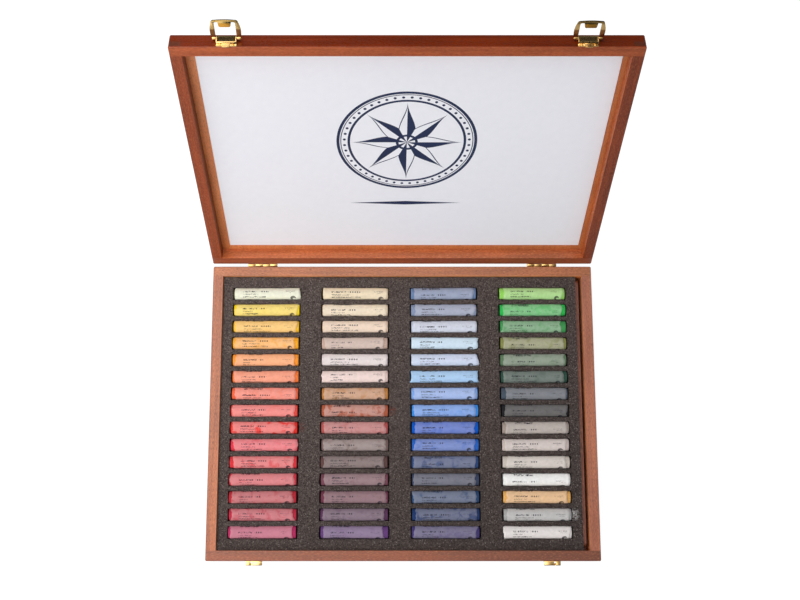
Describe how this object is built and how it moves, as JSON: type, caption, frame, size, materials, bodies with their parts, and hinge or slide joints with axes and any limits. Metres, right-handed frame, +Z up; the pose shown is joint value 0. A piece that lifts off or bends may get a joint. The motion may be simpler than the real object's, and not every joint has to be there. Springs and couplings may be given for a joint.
{
  "type": "hinged pastel case",
  "caption": "Hinged wooden case with foam pockets that hold wrapped soft pastels in rows, two brass hinges behind and two swing-loop clasps in front.",
  "frame": {"origin": "centre of the base underside", "axes": "+X to the right, +Y towards the hinges, +Z up; the lid stands open"},
  "size_m": [0.376, 0.4247, 0.3095],
  "materials": {
    "board_wood": "mahogany-stained hardwood, satin varnish",
    "panel_wood": "mahogany-stained plywood, satin varnish",
    "strip_wood": "stained strip, unpolished",
    "liner_card": "pale matt card",
    "foam": "charcoal open-cell foam",
    "brass": "polished brass plate",
    "pastels_column_1": "soft pastels in pale paper, ivory through yellow and orange to red and magenta",
    "pastels_column_2": "soft pastels in pale paper, cream through ochre and brown to violet",
    "pastels_column_3": "soft pastels in pale paper, blues and blue-greys",
    "pastels_column_4": "soft pastels in pale paper, greens, greys and whites"
  },
  "bodies": {
    "base": {"base_back_wall": "board_wood", "base_bottom_panel": "panel_wood", "base_front_wall": "board_wood", "base_left_wall": "board_wood", "base_right_wall": "board_wood", "clasp_left_catch": "brass", "clasp_right_catch": "brass", "foam_pad": "foam", "foam_rails": "foam", "foam_ribs_column_1": "foam", "foam_ribs_column_2": "foam", "foam_ribs_column_3": "foam", "foam_ribs_column_4": "foam", "hinge_left_base_leaf": "brass", "hinge_left_pin": "brass", "hinge_right_base_leaf": "brass", "hinge_right_pin": "brass", "spacer_strip": "strip_wood"},
    "lid": {"clasp_left_bracket": "brass", "clasp_left_pivot_pins": "brass", "clasp_right_bracket": "brass", "clasp_right_pivot_pins": "brass", "hinge_left_lid_leaf": "brass", "hinge_right_lid_leaf": "brass", "lid_back_wall": "board_wood", "lid_front_wall": "board_wood", "lid_left_wall": "board_wood", "lid_liner_card": "liner_card", "lid_right_wall": "board_wood", "lid_top_panel": "panel_wood"},
    "clasp_left_loop": {"clasp_left_loop": "brass"},
    "clasp_right_loop": {"clasp_right_loop": "brass"},
    "pastels_column_1": {"pastels_column_1": "pastels_column_1"},
    "pastels_column_2": {"pastels_column_2": "pastels_column_2"},
    "pastels_column_3": {"pastels_column_3": "pastels_column_3"},
    "pastels_column_4": {"pastels_column_4": "pastels_column_4"}
  },
  "joints": [
    {"name": "lid_hinge", "type": "hinge", "parent": "base", "child": "lid", "pos_m": [0, 0.1445, 0.03015], "axis": [-1, 0, 0], "range_deg": [-114, 0]},
    {"name": "clasp_left_swing", "type": "hinge", "parent": "lid", "child": "clasp_left_loop", "pos_m": [-0.142, 0.2694, 0.29187], "axis": [-1, 0, 0], "range_deg": [-90, 25]},
    {"name": "clasp_right_swing", "type": "hinge", "parent": "lid", "child": "clasp_right_loop", "pos_m": [0.142, 0.2694, 0.29187], "axis": [-1, 0, 0], "range_deg": [-86, 29]},
    {"name": "pastels_column_1_lift", "type": "slide", "parent": "base", "child": "pastels_column_1", "axis": [0, 0, 1], "range_m": [0, 0.04]},
    {"name": "pastels_column_2_lift", "type": "slide", "parent": "base", "child": "pastels_column_2", "axis": [0, 0, 1], "range_m": [0, 0.04]},
    {"name": "pastels_column_3_lift", "type": "slide", "parent": "base", "child": "pastels_column_3", "axis": [0, 0, 1], "range_m": [0, 0.04]},
    {"name": "pastels_column_4_lift", "type": "slide", "parent": "base", "child": "pastels_column_4", "axis": [0, 0, 1], "range_m": [0, 0.04]}
  ]
}
